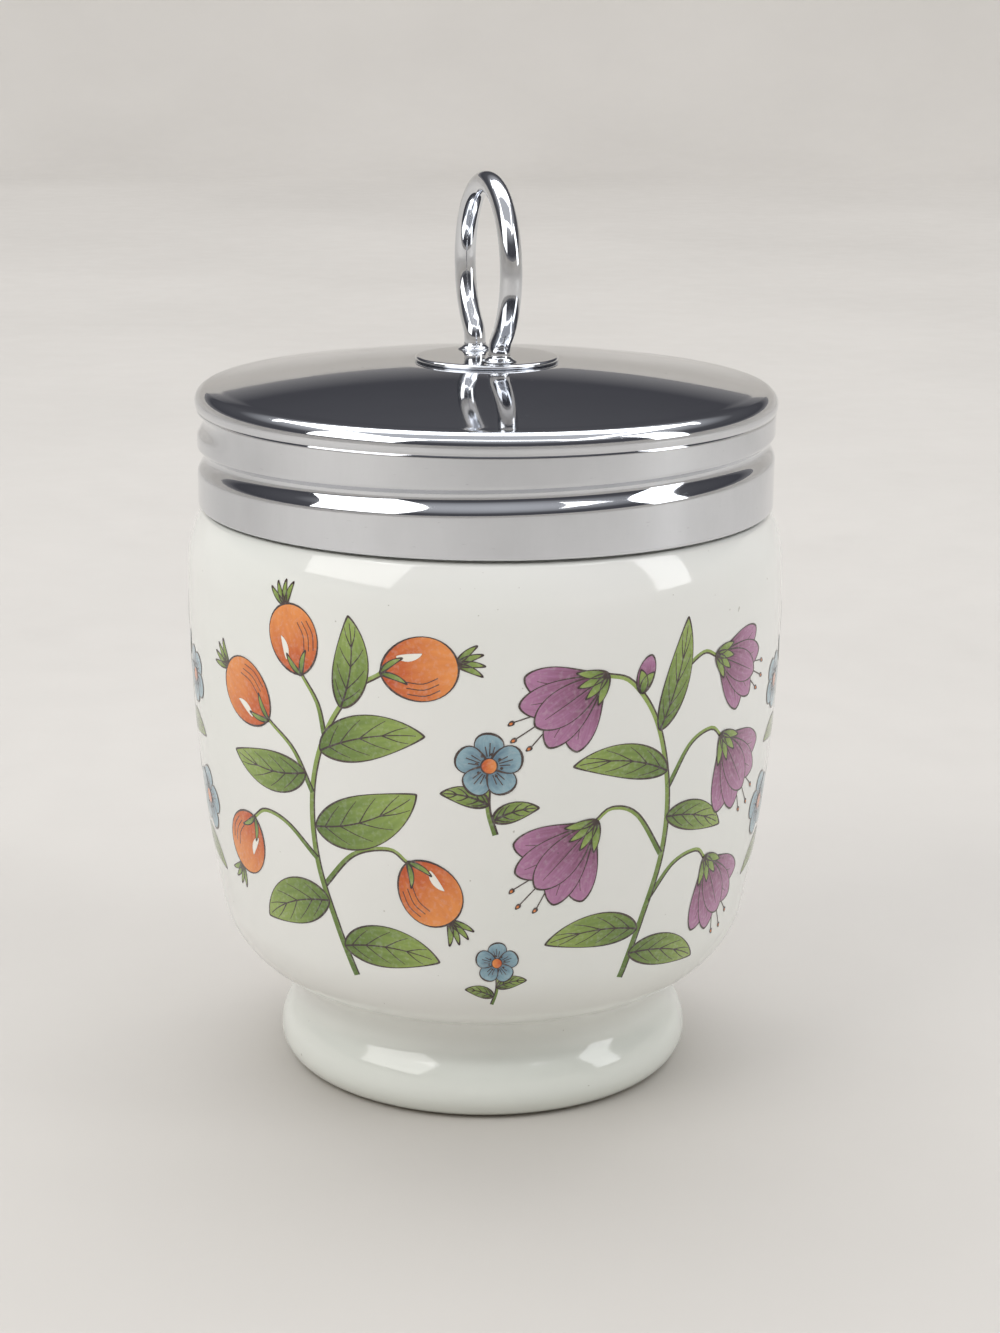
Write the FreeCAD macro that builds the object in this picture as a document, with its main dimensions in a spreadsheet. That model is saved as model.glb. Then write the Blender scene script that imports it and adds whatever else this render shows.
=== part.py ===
"""Egg coddler: a glazed porcelain cup on a foot ring, closed by a chromed screw lid with a finger ring.

The origin is the centre of the foot ring where it stands, +Z is up and -Y is the front.
Sizes are in millimetres and angles in degrees. Turns round the axis start at +X and go anticlockwise.
"""
import FreeCAD, Part
import math
import os
import Sketcher

V = FreeCAD.Vector

SIZES = {
    # foot ring
    "foot_radius": 24.17,
    "foot_widest_height": 2.94,
    "foot_bottom_round": 2.27,
    "stand_width": 1.7,
    "recess_depth": 4.0,
    "recess_draft": 1.6,
    "waist_inset": 1.27,
    "waist_rise": 3.4,
    "underside_step": 0.13,
    "underside_rise": 5.66,
    # cup, outside
    "cup_radius": 34.05,
    "belly_inset": 3.25,
    "belly_rise": 8.0,
    "side_curve_radius": 201.0,
    "shoulder_height": 66.25,
    "shoulder_drop": 6.25,
    "shoulder_curve_radius": 13.0,
    "shoulder_inset": 0.45,
    "neck_root_fillet": 0.5,
    # cup, inside
    "cup_wall": 4.45,
    "floor_thickness": 6.4,
    "bowl_corner_radius": 20.6,
    "bowl_narrowing": 16.0,
    "lip_width": 2.7,
    "lip_outer_round": 0.8,
    "lip_inner_round": 1.0,
    "mouth_depth": 8.9,
    # screw thread, shared by cup and lid
    "thread_pitch": 4.0,
    "thread_depth": 1.25,
    "thread_start_angle": 140.0,
    "thread_gap": 0.35,
    "rib_gap": 0.3,
    "rib_turns": 1.4,
    "rib_drop": 2.35,
    "rib_width": 1.9,
    "rib_crest_width": 0.7,
    "bead_start_rise": 5.16,
    "bead_turns": 1.208,
    "bead_above": 1.25,
    "bead_below": 2.1,
    "bead_crest_width": 1.0,
    "groove_above": 0.85,
    "groove_below": 1.8,
    "groove_root_width": 0.5,
    "groove_depth": 0.7,
    # lid
    "lid_radius": 32.75,
    "lid_wall": 0.5,
    "skirt_gap": 0.35,
    "skirt_height": 10.8,
    "rim_bulge": 0.2,
    "rim_widest_rise": 0.9,
    "rim_height": 2.38,
    "rim_inset": 1.45,
    "rim_round": 1.65,
    "cone_rise": 2.72,
    # pieces inside the lid
    "loose_gap": 0.3,
    "disc_wall": 0.4,
    "disc_edge_gap": 0.35,
    "disc_rim_width": 5.9,
    "seal_inset": 0.2,
    "seal_outer_inset": 0.1,
    "seal_thickness": 1.5,
    "seal_round": 0.3,
    "seal_gap": 0.0315,
    "washer_margin": 0.1,
    "washer_thickness": 0.6,
    # finger ring and its fastening
    "plate_radius": 8.16,
    "plate_margin": 0.84,
    "plate_thickness": 0.6,
    "plate_round": 0.35,
    "wire_radius": 1.22,
    "ring_radius": 9.35,
    "ring_stand": 20.45,
    "leg_offset": 5.0,
    "leg_bend_radius": 2.2,
    "leg_clearance": 0.05,
    "ring_turn": -74.0,
    "collar_foot_width": 0.73,
    "collar_top_width": 0.38,
    "collar_height": 0.7,
    "rivet_head_overhang": 0.68,
    "rivet_head_height": 0.7,
}


class Size:
    """A length that knows both its number and the sheet expression that gives it."""

    def __init__(self, value, text):
        self.value = value
        self.text = text

    def _join(self, other, sign, value):
        other_text = other.text if isinstance(other, Size) else repr(float(other))
        return Size(value, f"({self.text} {sign} {other_text})")

    def __add__(self, other):
        return self._join(other, "+", self.value + number(other))

    def __sub__(self, other):
        return self._join(other, "-", self.value - number(other))

    def __mul__(self, other):
        return self._join(other, "*", self.value * number(other))

    def __truediv__(self, other):
        return self._join(other, "/", self.value / number(other))

    def __neg__(self):
        return Size(-self.value, f"(0 - {self.text})")

    def root(self):
        return Size(math.sqrt(self.value), f"sqrt({self.text})")


def number(value):
    return value.value if isinstance(value, Size) else float(value)


doc = FreeCAD.newDocument("egg_coddler")
sheet = doc.addObject("Spreadsheet::Sheet", "sizes")
S = {}
for row, (alias, length) in enumerate(SIZES.items(), start=1):
    sheet.set(f"A{row}", alias)
    sheet.set(f"B{row}", str(length))
    sheet.setAlias(f"B{row}", alias)
    S[alias] = Size(float(length), f"sizes.{alias}")
doc.recompute()


def bind(obj, prop, size):
    """Give a property its number and tie it to the sheet."""
    if isinstance(size, Size):
        obj.setExpression(prop, size.text)


def new_body(name):
    body = doc.addObject("PartDesign::Body", name)
    body.Label = name
    return body


def plane(body, role):
    return next(feature for feature in body.Origin.OriginFeatures if feature.Role == role)


def new_sketch(body, name, role="XZ_Plane", height=None, turn=None):
    """A sketch on one of the body's own planes, raised by height or turned about the vertical."""
    sketch = body.newObject("Sketcher::SketchObject", name)
    sketch.AttachmentSupport = [(plane(body, role), "")]
    sketch.MapMode = "FlatFace"
    if turn is not None:
        axis = V(0, 1, 0) if role == "XZ_Plane" else V(0, 0, 1)
        sketch.AttachmentOffset = FreeCAD.Placement(V(0, 0, 0), FreeCAD.Rotation(axis, turn.value))
        bind(sketch, "AttachmentOffset.Rotation.Angle", turn)
    if height is not None:
        offset = sketch.AttachmentOffset
        offset.Base = V(0, 0, height.value)
        sketch.AttachmentOffset = offset
        bind(sketch, "AttachmentOffset.Base.z", height)
    return sketch


def fix_point(sketch, geo, pos, x, y):
    """Hold a point at x, y from the sketch's origin, on an axis where a coordinate is zero."""
    for kind, axis, size in (("DistanceX", -2, x), ("DistanceY", -1, y)):
        if number(size) == 0:
            sketch.addConstraint(Sketcher.Constraint("PointOnObject", geo, pos, axis))
        else:
            index = sketch.addConstraint(Sketcher.Constraint(kind, -1, 1, geo, pos, number(size)))
            bind(sketch, f"Constraints[{index}]", size)


def arc_through(first, last, centre, radius, left):
    """The arc from first to last round centre, and which of its ends each one is."""
    angles = [math.atan2(point.y - centre.y, point.x - centre.x) for point in (first, last)]
    if not left:
        angles.reverse()
    if angles[1] < angles[0]:
        angles[1] += 2 * math.pi
    circle = Part.Circle(centre, V(0, 0, 1), radius)
    return Part.ArcOfCircle(circle, angles[0], angles[1]), ((1, 2) if left else (2, 1))


def outline(sketch, points, closed=True):
    """Draw edges from point to point. Each point is (x, y, how), where how says how it is reached:

    "line" is straight, "tangent" is an arc that goes on from the edge before it, and a pair
    (radius, side) is an arc of that radius whose centre lies to the "left" or "right" of the way.
    """
    here = V(number(points[0][0]), number(points[0][1]), 0)
    heading = None
    ends = []
    for x, y, how in points[1:]:
        there = V(number(x), number(y), 0)
        chord = there - here
        if how == "line":
            geo = sketch.addGeometry(Part.LineSegment(here, there))
            pos = (1, 2)
            heading = chord.normalize()
        else:
            if how == "tangent":
                normal = V(-heading.y, heading.x, 0)
                reach = chord.dot(chord) / (2 * chord.dot(normal))
                centre = here + normal * reach
                left = reach > 0
            else:
                radius, side = how
                left = side == "left"
                half = chord.Length / 2
                across = V(-chord.y, chord.x, 0).normalize()
                rise = math.sqrt(number(radius) ** 2 - half ** 2)
                centre = here + chord * 0.5 + across * (rise if left else -rise)
            arc, pos = arc_through(here, there, centre, (there - centre).Length, left)
            geo = sketch.addGeometry(arc)
            spoke = there - centre
            heading = V(-spoke.y, spoke.x, 0).normalize() * (1 if left else -1)
        join = "Tangent" if how == "tangent" else "Coincident"
        if ends:
            sketch.addConstraint(Sketcher.Constraint(join, ends[-1][0], ends[-1][2], geo, pos[0]))
        elif not closed:
            fix_point(sketch, geo, pos[0], points[0][0], points[0][1])
        fix_point(sketch, geo, pos[1], x, y)
        if how not in ("line", "tangent"):
            index = sketch.addConstraint(Sketcher.Constraint("Radius", geo, number(how[0])))
            bind(sketch, f"Constraints[{index}]", how[0])
        ends.append((geo, pos[0], pos[1]))
        here = there
    if closed:
        last, first = ends[-1], ends[0]
        sketch.addConstraint(Sketcher.Constraint("Coincident", last[0], last[2], first[0], first[1]))
    return sketch


def circle_at(sketch, x, radius):
    """A circle on the sketch's X axis."""
    geo = sketch.addGeometry(Part.Circle(V(number(x), 0, 0), V(0, 0, 1), number(radius)))
    fix_point(sketch, geo, 3, x, 0)
    index = sketch.addConstraint(Sketcher.Constraint("Radius", geo, number(radius)))
    bind(sketch, f"Constraints[{index}]", radius)


def revolve(body, sketch, name):
    feature = body.newObject("PartDesign::Revolution", name)
    feature.Profile = sketch
    feature.ReferenceAxis = (sketch, ["V_Axis"])
    feature.Angle = 360
    sketch.Visibility = False
    doc.recompute()
    return feature


def wind(body, kind, name, section, turns):
    """Carry a section round the axis on the thread's pitch, adding to the body or cutting it."""
    feature = body.newObject(kind, name)
    feature.Profile = section
    feature.ReferenceAxis = (section, ["V_Axis"])
    feature.Mode = 0
    feature.Pitch = S["thread_pitch"].value
    feature.Height = (S["thread_pitch"] * turns).value
    feature.LeftHanded = False
    bind(feature, "Pitch", S["thread_pitch"])
    bind(feature, "Height", S["thread_pitch"] * turns)
    doc.recompute()
    return feature


def pad(body, sketch, name, length):
    feature = body.newObject("PartDesign::Pad", name)
    feature.Profile = sketch
    feature.Length = length.value
    bind(feature, "Length", length)
    doc.recompute()
    return feature


def leg_holes(body, name):
    """Cut two holes for the ring's legs right through the body's middle."""
    sketch = new_sketch(body, f"{name}_sketch", "XY_Plane", turn=S["ring_turn"])
    for side in (1, -1):
        circle_at(sketch, S["leg_offset"] * side, S["wire_radius"] + S["leg_clearance"])
    feature = body.newObject("PartDesign::Pocket", name)
    feature.Profile = sketch
    feature.Type = "ThroughAll"
    feature.Midplane = True
    doc.recompute()
    return feature


# radii that several pieces share
lid_inner_radius = S["lid_radius"] - S["lid_wall"]
neck_radius = lid_inner_radius - S["thread_depth"]
mouth_radius = neck_radius - S["lip_width"]
bead_crest_radius = neck_radius + S["thread_gap"]
rib_crest_radius = lid_inner_radius - S["rib_gap"]
rim_radius = S["lid_radius"] + S["rim_bulge"]
cone_edge_radius = S["lid_radius"] - S["rim_inset"]
cone_top_radius = S["plate_radius"] + S["plate_margin"]
disc_radius = lid_inner_radius - S["disc_edge_gap"]
disc_flat_radius = disc_radius - S["disc_rim_width"]
seal_outer_radius = neck_radius - S["seal_outer_inset"]
rivet_head_radius = S["wire_radius"] + S["rivet_head_overhang"]

# heights of the lid, which hangs over the cup's shoulder
skirt_foot_height = S["shoulder_height"] + S["skirt_gap"]
bead_start_height = skirt_foot_height + S["bead_start_rise"]
rim_foot_height = skirt_foot_height + S["skirt_height"]
rim_widest_height = rim_foot_height + S["rim_widest_rise"]
cone_edge_height = rim_foot_height + S["rim_height"]
cone_top_height = cone_edge_height + S["cone_rise"]
cone_slope = S["cone_rise"] / (cone_edge_radius - cone_top_radius)
lid_underside_height = cone_top_height - S["lid_wall"]
washer_underside_height = lid_underside_height - S["washer_thickness"]
plate_top_height = cone_top_height + S["plate_thickness"]

# the loose disc lies under the cone, and the cup's lip is as high as the disc and the seal leave it
disc_drop = S["lid_wall"] + S["loose_gap"]
disc_flat_top = cone_edge_height + (cone_edge_radius - disc_flat_radius) * cone_slope - disc_drop
disc_edge_top = cone_edge_height + (cone_edge_radius - disc_radius) * cone_slope - disc_drop - S["loose_gap"]
disc_slope = (disc_flat_top - disc_edge_top) / S["disc_rim_width"]
seal_reach = disc_radius - seal_outer_radius + S["seal_round"]
seal_ceiling = disc_edge_top - S["disc_wall"] + seal_reach * disc_slope
lip_height = seal_ceiling - S["seal_gap"] - S["seal_thickness"]


def porcelain_cup():
    """Foot ring, waist, belly, shoulder ledge, threaded neck and bowl in one piece of porcelain."""
    body = new_body("porcelain_cup")
    stand_radius = S["foot_radius"] - S["foot_bottom_round"]
    stand_inner_radius = stand_radius - S["stand_width"]
    waist_height = S["foot_widest_height"] + S["waist_rise"]
    underside_height = waist_height + S["underside_rise"]
    belly_radius = S["cup_radius"] - S["belly_inset"]
    belly_height = underside_height + S["belly_rise"]
    widest_height = S["shoulder_height"] - S["shoulder_drop"]
    floor_height = S["recess_depth"] + S["floor_thickness"]
    bowl_radius = S["cup_radius"] - S["cup_wall"]
    mouth_foot = lip_height - S["mouth_depth"]
    narrow_mid = mouth_foot - S["bowl_narrowing"] / 2
    narrow_foot = mouth_foot - S["bowl_narrowing"]
    profile = outline(new_sketch(body, "cup_profile"), [
        (S["cup_radius"], widest_height, None),
        (belly_radius, belly_height, (S["side_curve_radius"], "right")),
        (S["foot_radius"] + S["underside_step"], underside_height, "tangent"),
        (S["foot_radius"] - S["waist_inset"], waist_height, "tangent"),
        (S["foot_radius"], S["foot_widest_height"], "tangent"),
        (stand_radius, 0, "tangent"),
        (stand_inner_radius, 0, "line"),
        (stand_inner_radius - S["recess_draft"], S["recess_depth"], "line"),
        (0, S["recess_depth"], "line"),
        (0, floor_height, "line"),
        (bowl_radius - S["bowl_corner_radius"], floor_height, "line"),
        (bowl_radius, floor_height + S["bowl_corner_radius"], "tangent"),
        (bowl_radius, narrow_foot, "line"),
        ((bowl_radius + mouth_radius) / 2, narrow_mid, "tangent"),
        (mouth_radius, mouth_foot, "tangent"),
        (mouth_radius, lip_height - S["lip_inner_round"], "line"),
        (mouth_radius + S["lip_inner_round"], lip_height, "tangent"),
        (neck_radius - S["lip_outer_round"], lip_height, "line"),
        (neck_radius, lip_height - S["lip_outer_round"], "tangent"),
        (neck_radius, S["shoulder_height"] + S["neck_root_fillet"], "line"),
        (neck_radius + S["neck_root_fillet"], S["shoulder_height"], "tangent"),
        (S["lid_radius"] - S["shoulder_inset"], S["shoulder_height"], "line"),
        (S["cup_radius"], widest_height, (S["shoulder_curve_radius"], "right")),
    ])
    revolve(body, profile, "cup_revolution")
    middle = bead_start_height - S["rib_drop"]
    root = neck_radius - S["thread_gap"]
    flare = (S["rib_width"] - S["rib_crest_width"]) / 2
    root_half = S["rib_width"] / 2 + flare * S["thread_gap"] / (rib_crest_radius - neck_radius)
    rib = outline(new_sketch(body, "rib_section", turn=S["thread_start_angle"]), [
        (root, middle - root_half, None),
        (rib_crest_radius, middle - S["rib_crest_width"] / 2, "line"),
        (rib_crest_radius, middle + S["rib_crest_width"] / 2, "line"),
        (root, middle + root_half, "line"),
        (root, middle - root_half, "line"),
    ])
    wind(body, "PartDesign::AdditiveHelix", "neck_thread", rib, S["rib_turns"])
    return body


def lid_shell():
    """Pressed metal lid: skirt with a rolled screw groove, rounded rim and shallow cone."""
    body = new_body("lid_shell")
    wall = S["lid_wall"]
    profile = outline(new_sketch(body, "lid_profile"), [
        (S["lid_radius"], skirt_foot_height, None),
        (S["lid_radius"], rim_foot_height, "line"),
        (rim_radius, rim_widest_height, (S["rim_round"], "left")),
        (cone_edge_radius, cone_edge_height, (S["rim_round"], "left")),
        (cone_top_radius, cone_top_height, "line"),
        (0, cone_top_height, "line"),
        (0, lid_underside_height, "line"),
        (cone_top_radius, lid_underside_height, "line"),
        (cone_edge_radius, cone_edge_height - wall, "line"),
        (lid_inner_radius, rim_widest_height - wall, (S["rim_round"], "right")),
        (lid_inner_radius, skirt_foot_height, "line"),
        (S["lid_radius"], skirt_foot_height, "line"),
    ])
    revolve(body, profile, "lid_revolution")
    middle = bead_start_height
    root = lid_inner_radius + wall / 2
    bead = outline(new_sketch(body, "bead_section", turn=S["thread_start_angle"]), [
        (root, middle - S["bead_below"], None),
        (root, middle + S["bead_above"], "line"),
        (bead_crest_radius, middle + S["bead_crest_width"] / 2, "line"),
        (bead_crest_radius, middle - S["bead_crest_width"] / 2, "line"),
        (root, middle - S["bead_below"], "line"),
    ])
    wind(body, "PartDesign::AdditiveHelix", "lid_bead", bead, S["bead_turns"])
    mouth = S["lid_radius"] + wall
    groove_root = S["lid_radius"] - S["groove_depth"]
    root_half = S["groove_root_width"] / 2
    reach = (wall + S["groove_depth"]) / S["groove_depth"]
    groove = outline(new_sketch(body, "groove_section", turn=S["thread_start_angle"]), [
        (mouth, middle - root_half - (S["groove_below"] - root_half) * reach, None),
        (mouth, middle + root_half + (S["groove_above"] - root_half) * reach, "line"),
        (groove_root, middle + root_half, "line"),
        (groove_root, middle - root_half, "line"),
        (mouth, middle - root_half - (S["groove_below"] - root_half) * reach, "line"),
    ])
    wind(body, "PartDesign::SubtractiveHelix", "lid_groove", groove, S["bead_turns"])
    leg_holes(body, "lid_leg_holes")
    return body


def sealing_ring():
    """Flat ring that lies on the cup's lip."""
    body = new_body("sealing_ring")
    low = lip_height
    high = lip_height + S["seal_thickness"]
    inner = mouth_radius + S["seal_inset"]
    profile = outline(new_sketch(body, "seal_profile"), [
        (inner, low, None),
        (seal_outer_radius, low, "line"),
        (seal_outer_radius, high - S["seal_round"], "line"),
        (seal_outer_radius - S["seal_round"], high, "tangent"),
        (inner + S["seal_round"], high, "line"),
        (inner, high - S["seal_round"], "tangent"),
        (inner, low, "line"),
    ])
    revolve(body, profile, "seal_revolution")
    return body


def inner_disc():
    """Loose pressed disc under the lid: a conical rim against the lid and a flat middle."""
    body = new_body("inner_disc")
    profile = outline(new_sketch(body, "disc_profile"), [
        (0, disc_flat_top - S["disc_wall"], None),
        (disc_flat_radius, disc_flat_top - S["disc_wall"], "line"),
        (disc_radius, disc_edge_top - S["disc_wall"], "line"),
        (disc_radius, disc_edge_top, "line"),
        (disc_flat_radius, disc_flat_top, "line"),
        (0, disc_flat_top, "line"),
        (0, disc_flat_top - S["disc_wall"], "line"),
    ])
    revolve(body, profile, "disc_revolution")
    return body


def backing_washer():
    """Washer under the lid that the ring's legs are riveted over."""
    body = new_body("backing_washer")
    sketch = new_sketch(body, "washer_sketch", "XY_Plane", washer_underside_height)
    circle_at(sketch, 0, S["leg_offset"] + rivet_head_radius + S["washer_margin"])
    pad(body, sketch, "washer_pad", S["washer_thickness"])
    leg_holes(body, "washer_leg_holes")
    return body


def ring_plate():
    """Small round plate on the top of the cone, with a rounded upper edge."""
    body = new_body("ring_plate")
    sketch = new_sketch(body, "plate_sketch", "XY_Plane", cone_top_height)
    circle_at(sketch, 0, S["plate_radius"])
    disc = pad(body, sketch, "plate_pad", S["plate_thickness"])
    upper = max(range(len(disc.Shape.Edges)), key=lambda i: disc.Shape.Edges[i].CenterOfMass.z)
    rounding = body.newObject("PartDesign::Fillet", "plate_fillet")
    rounding.Base = (disc, [f"Edge{upper + 1}"])
    rounding.Radius = S["plate_round"].value
    bind(rounding, "Radius", S["plate_round"])
    doc.recompute()
    leg_holes(body, "plate_leg_holes")
    return body


def finger_ring():
    """Round wire bent to a hoop whose two legs go down through plate, lid and washer."""
    body = new_body("finger_ring")
    centre = plate_top_height + S["ring_stand"] - S["wire_radius"] - S["ring_radius"]
    reach = S["ring_radius"] + S["leg_bend_radius"]
    side = S["leg_offset"] + S["leg_bend_radius"]
    bend = centre - (reach * reach - side * side).root()
    waist_x = S["ring_radius"] * side / reach
    waist_z = centre - S["ring_radius"] * (centre - bend) / reach
    foot = washer_underside_height
    path = outline(new_sketch(body, "ring_path"), [
        (-S["leg_offset"], foot, None),
        (-S["leg_offset"], bend, "line"),
        (-waist_x, waist_z, "tangent"),
        (0, centre + S["ring_radius"], "tangent"),
        (waist_x, waist_z, "tangent"),
        (S["leg_offset"], bend, "tangent"),
        (S["leg_offset"], foot, "line"),
    ], closed=False)
    section = new_sketch(body, "wire_section", "XY_Plane", foot)
    circle_at(section, -S["leg_offset"], S["wire_radius"])
    hoop = body.newObject("PartDesign::AdditivePipe", "ring_hoop")
    hoop.Profile = section
    hoop.Spine = (path, [f"Edge{index + 1}" for index in range(6)])
    doc.recompute()
    heads = new_sketch(body, "rivet_head_sketch", "XY_Plane", foot - S["rivet_head_height"])
    for sign in (1, -1):
        circle_at(heads, S["leg_offset"] * sign, rivet_head_radius)
    pad(body, heads, "rivet_heads", S["rivet_head_height"])
    body.Placement = FreeCAD.Placement(V(0, 0, 0), FreeCAD.Rotation(V(0, 0, 1), S["ring_turn"].value))
    bind(body, "Placement.Rotation.Angle", S["ring_turn"])
    return body


def ring_collars():
    """Two tapered collars that close the holes round the ring's legs."""
    pair = []
    for index, sign in enumerate((1, -1), start=1):
        taper = doc.addObject("Part::Cone", f"collar_taper_{index}")
        bore = doc.addObject("Part::Cylinder", f"collar_bore_{index}")
        bind(taper, "Radius1", S["wire_radius"] + S["collar_foot_width"])
        bind(taper, "Radius2", S["wire_radius"] + S["collar_top_width"])
        bind(taper, "Height", S["collar_height"])
        bind(bore, "Radius", S["wire_radius"] + S["leg_clearance"])
        bind(bore, "Height", S["collar_height"])
        for solid in (taper, bore):
            bind(solid, "Placement.Base.x", S["leg_offset"] * sign)
            bind(solid, "Placement.Base.z", plate_top_height)
        collar = doc.addObject("Part::Cut", f"collar_{index}")
        collar.Base = taper
        collar.Tool = bore
        pair.append(collar)
    group = doc.addObject("Part::Compound", "ring_collars")
    group.Label = "ring_collars"
    group.Links = pair
    group.Placement = FreeCAD.Placement(V(0, 0, 0), FreeCAD.Rotation(V(0, 0, 1), S["ring_turn"].value))
    bind(group, "Placement.Rotation.Angle", S["ring_turn"])
    return group


pieces = [
    porcelain_cup(),
    sealing_ring(),
    inner_disc(),
    lid_shell(),
    backing_washer(),
    ring_plate(),
    finger_ring(),
    ring_collars(),
]
doc.recompute()

for obj in doc.Objects:
    bad = {"Invalid", "Error"} & set(obj.State)
    if bad:
        raise RuntimeError(f"{obj.Name} is {bad}")
for piece in pieces:
    if piece.Shape.isNull() or not piece.Shape.isValid() or not piece.Shape.Solids:
        raise RuntimeError(f"{piece.Label} has no sound solid")

os.makedirs("parts", exist_ok=True)
for piece in pieces:
    piece.Shape.exportStep(f"parts/{piece.Label}.step")
    box = piece.Shape.BoundBox
    print(f"{piece.Label}: {len(piece.Shape.Solids)} solids, {piece.Shape.Volume:.1f} mm3, "
          f"z {box.ZMin:.2f} to {box.ZMax:.2f}, x {box.XMin:.2f} to {box.XMax:.2f}")
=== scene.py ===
"""Looks of the egg coddler: glazed porcelain cup with a printed design, chromed screw lid and finger ring.

Shapes are written in millimetres and put into the meshes in metres. Heights are above the table, angles in
radians go anticlockwise from +X, and an azimuth goes from the front (-Y) towards +X.
"""
import math

import bmesh
import bpy
import numpy as np
from mathutils import Matrix, Vector


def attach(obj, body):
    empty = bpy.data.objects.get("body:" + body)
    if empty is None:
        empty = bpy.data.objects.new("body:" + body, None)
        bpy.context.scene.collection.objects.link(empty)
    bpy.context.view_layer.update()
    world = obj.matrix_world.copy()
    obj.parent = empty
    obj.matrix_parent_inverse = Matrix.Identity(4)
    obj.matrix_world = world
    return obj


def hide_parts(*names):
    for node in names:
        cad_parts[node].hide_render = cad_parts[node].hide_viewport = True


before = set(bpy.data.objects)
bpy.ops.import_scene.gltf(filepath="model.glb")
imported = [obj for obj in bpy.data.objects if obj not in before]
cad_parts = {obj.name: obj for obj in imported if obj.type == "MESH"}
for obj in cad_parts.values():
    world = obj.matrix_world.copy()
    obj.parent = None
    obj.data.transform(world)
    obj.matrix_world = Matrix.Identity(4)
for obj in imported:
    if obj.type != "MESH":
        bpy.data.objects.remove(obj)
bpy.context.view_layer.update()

MM = 0.001
TURN = 2 * math.pi

# profiles: points (radius, height, how the point is reached), as on the construction drawing
CUP_OUTLINE = [
    (34.05, 60.0, None),
    (30.8, 20.0, 201.0),
    (24.3, 12.0, "tangent"),
    (22.9, 6.34, "tangent"),
    (24.17, 2.94, "tangent"),
    (21.9, 0.0, "tangent"),
    (20.2, 0.0, "line"),
    (18.6, 4.0, "line"),
    (0.0, 4.0, "line"),
]
BOWL_OUTLINE = [
    (0.0, 10.4, None),
    (9.0, 10.4, "line"),
    (29.6, 31.0, "tangent"),
    (29.6, 52.0, "line"),
    (28.95, 60.0, "tangent"),
    (28.3, 68.0, "tangent"),
    (28.3, 75.9, "line"),
    (29.3, 76.9, "tangent"),
    (30.2, 76.9, "line"),
    (31.0, 76.1, "tangent"),
    (31.0, 66.75, "line"),
    (31.5, 66.25, "tangent"),
    (32.3, 66.25, "line"),
    (34.05, 60.0, 13.0),
]

# other sizes in millimetres, the same as in the part's source
SAMPLE = 0.5
NECK = 31.0
LIP = 76.9
THREAD = {"pitch": 4.0, "start_angle": math.radians(140), "start_height": 71.76}
RIB = {"offset": -2.35, "turns": 1.4, "above": 0.95, "below": 0.95, "crest": 0.35, "fade": 0.35}
RIB_RISE = 0.95
GROOVE = {"offset": 0.0, "turns": 1.208, "above": 0.95, "below": 2.1, "crest": 0.12, "fade": 0.45}
GROOVE_SINK = 0.78
LID = 32.75
WALL = 0.5
SKIRT_FOOT = 66.6
RIM_FOOT = 77.4
RIM_STEP = 0.1
RIM_ROUND = 1.65
RIM_CENTRE = 78.2
RIM_ARC = (-0.35, 1.32)
CONE_EDGE = (31.3, 79.78)
CONE_TOP = (9.0, 82.5)
CONE_BULGE = 0.39
WASHER = 7.0
WASHER_THICKNESS = 0.6
WASHER_FOOT = 81.4
PLATE = 8.16
PLATE_ROUND = 0.35
PLATE_TOP = 83.1
DISC_FLAT = 26.0
DISC_RIM = 5.9
DISC_WALL = 0.4
DISC_DROP = 0.8
DISC_GAP = 0.3
SEAL_INNER = 28.5
SEAL_OUTER = 30.9
SEAL_THICKNESS = 1.5
SEAL_ROUND = 0.3
WIRE = 1.22
HOOP = 9.35
LEG = 5.0
LEG_BEND = 2.2
RING_TOP = 103.55
RING_TURN = math.radians(-74)
HOOP_HEIGHT = RING_TOP - WIRE - HOOP
COLLAR_FOOT = 1.95
COLLAR_HEIGHT = 0.7
RIVET = 1.9
RIVET_HEIGHT = 0.7


# surfaces
def walk_outline(points, step):
    """Radius and height arrays along straight runs and arcs, one sample about every step millimetres.

    An arc given by its radius bends to the right of the way. A tangent arc leaves the run before it
    smoothly: its centre is where the normal at its start meets the middle plane of its chord.
    """
    here = np.array(points[0][:2], float)
    runs = [here[None]]
    heading = None
    for radius, height, how in points[1:]:
        there = np.array([radius, height], float)
        chord = there - here
        length = np.hypot(*chord)
        if how == "line":
            count = max(2, int(length / (3 * step)) + 1)
            share = np.linspace(0, 1, count + 1)[1:, None]
            runs.append(here + chord * share)
            heading = chord / length
        else:
            if how == "tangent":
                normal = np.array([-heading[1], heading[0]])
                reach = length ** 2 / (2 * chord @ normal)
                centre = here + normal * reach
                side = np.sign(reach)
            else:
                across = np.array([-chord[1], chord[0]]) / length
                centre = here + chord / 2 - across * math.sqrt(how ** 2 - length ** 2 / 4)
                side = -1.0
            first, last = (np.arctan2(*(p - centre)[::-1]) for p in (here, there))
            sweep = (last - first) * side % TURN * side
            bend = np.hypot(*(there - centre))
            count = max(6, int(abs(sweep) * bend / step))
            angle = first + sweep * np.linspace(0, 1, count + 1)[1:]
            runs.append(centre + bend * np.stack([np.cos(angle), np.sin(angle)], -1))
            heading = side * np.array([-np.sin(angle[-1]), np.cos(angle[-1])])
        here = there
    path = np.concatenate(runs)
    return path[:, 0], path[:, 1]


def grid_faces(rows, columns, wrap_rows=False, wrap_columns=False):
    """Corner numbers of the quads of a grid, joined end to end where a direction wraps round."""
    i = np.arange(rows if wrap_rows else rows - 1)[:, None]
    j = np.arange(columns if wrap_columns else columns - 1)[None, :]
    down, right = (i + 1) % rows, (j + 1) % columns
    corners = [i * columns + j, i * columns + right, down * columns + right, down * columns + j]
    return np.stack([np.broadcast_to(c, (i.size, j.size)) for c in corners], -1).reshape(-1, 4)


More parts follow.
